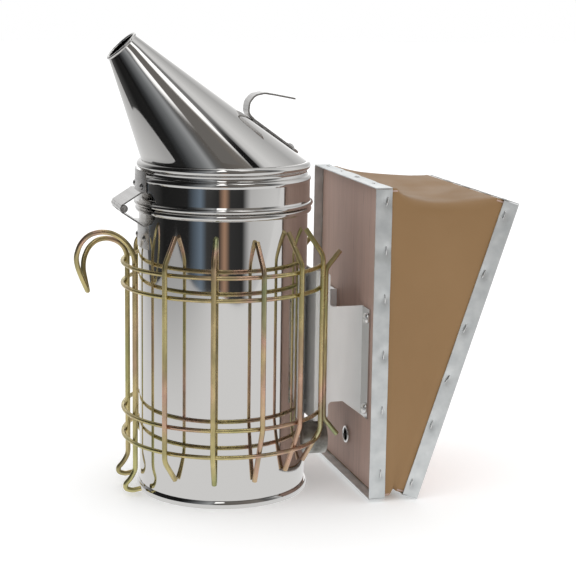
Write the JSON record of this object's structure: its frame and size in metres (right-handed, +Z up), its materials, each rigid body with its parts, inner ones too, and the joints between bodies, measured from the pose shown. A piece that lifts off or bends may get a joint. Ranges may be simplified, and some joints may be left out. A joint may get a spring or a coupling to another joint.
{
  "type": "bee smoker",
  "caption": "Bee smoker: round fire can with hinged leaning cone lid and spout, wire guard with hanging hook, and wedge-shaped squeeze bellows on a bracket.",
  "frame": {"origin": "middle of the flat underside of the fire can", "axes": "+Z up along the can, +X from the can towards the bellows, the spout leans towards -X, Y is the width of the bellows"},
  "size_m": [0.2537, 0.1266, 0.2722],
  "materials": {
    "polished_stainless": "mirror-polished stainless sheet",
    "yellow_zinc_wire": "steel wire with yellow, faintly iridescent zinc passivation",
    "bracket_stainless": "bright rolled stainless sheet",
    "sheet_stainless": "bright stainless sheet, lightly worn",
    "tin_edging": "bright thin metal strip with dents round the staples",
    "plywood": "reddish-brown unfinished plywood with upright grain",
    "tan_leather": "tan coated leather, satin, with soft creases",
    "spring_steel": "plain spring wire",
    "bright_fasteners": "bright plated steel"
  },
  "bodies": {
    "can": {"air_eyelet": "bright_fasteners", "bellows_bracket": "bracket_stainless", "bellows_hinge_strip": "tan_leather", "bellows_leather": "tan_leather", "bellows_spring": "spring_steel", "bracket_board_screws": "bright_fasteners", "bracket_bolts": "bright_fasteners", "bracket_nuts": "bright_fasteners", "can_base": "polished_stainless", "can_hinge_leaf": "sheet_stainless", "can_hinge_rivets": "bright_fasteners", "can_wall": "polished_stainless", "front_board": "plywood", "front_edging_bottom": "tin_edging", "front_edging_far": "tin_edging", "front_edging_near": "tin_edging", "front_edging_staples": "bright_fasteners", "front_edging_top": "tin_edging", "guard_bar_far_1": "yellow_zinc_wire", "guard_bar_far_2": "yellow_zinc_wire", "guard_bar_far_3": "yellow_zinc_wire", "guard_bar_far_4": "yellow_zinc_wire", "guard_bar_far_5": "yellow_zinc_wire", "guard_bar_near_1": "yellow_zinc_wire", "guard_bar_near_2": "yellow_zinc_wire", "guard_bar_near_3": "yellow_zinc_wire", "guard_bar_near_4": "yellow_zinc_wire", "guard_bar_near_5": "yellow_zinc_wire", "guard_end_bar_far": "yellow_zinc_wire", "guard_end_bar_near": "yellow_zinc_wire", "guard_hoop_lower_inner": "yellow_zinc_wire", "guard_hoop_lower_outer": "yellow_zinc_wire", "guard_hoop_upper_inner": "yellow_zinc_wire", "guard_hoop_upper_outer": "yellow_zinc_wire", "hook_wire": "yellow_zinc_wire", "inlet_tube": "sheet_stainless", "lid_hinge_pin": "bright_fasteners"},
    "lid": {"lid_cone": "polished_stainless", "lid_collar": "polished_stainless", "lid_hinge_leaf": "sheet_stainless", "lid_hinge_rivets": "bright_fasteners", "lift_tab": "sheet_stainless", "lift_tab_rivet": "bright_fasteners"},
    "rear_board": {"rear_board": "plywood", "rear_edging_top": "tin_edging", "rear_edging_bottom": "tin_edging", "rear_edging_near": "tin_edging", "rear_edging_far": "tin_edging", "rear_edging_staples": "bright_fasteners"},
    "grate": {"fire_grate": "sheet_stainless"}
  },
  "joints": [
    {"name": "lid_hinge", "type": "hinge", "parent": "can", "child": "lid", "pos_m": [-0.0623, 0, 0.1725], "axis": [0, -1, 0], "range_deg": [0, 100]},
    {"name": "bellows_squeeze", "type": "hinge", "parent": "can", "child": "rear_board", "pos_m": [0.0901, 0, 0.0045], "axis": [0, -1, 0], "range_deg": [0, 15], "stiffness_Nm_per_rad": 4, "springref_deg": -8.59, "deforming": ["bellows_leather", "bellows_spring", "bellows_hinge_strip"]},
    {"name": "grate_lift", "type": "slide", "parent": "can", "child": "grate", "axis": [0, 0, 1], "range_m": [0, 0.12]}
  ]
}
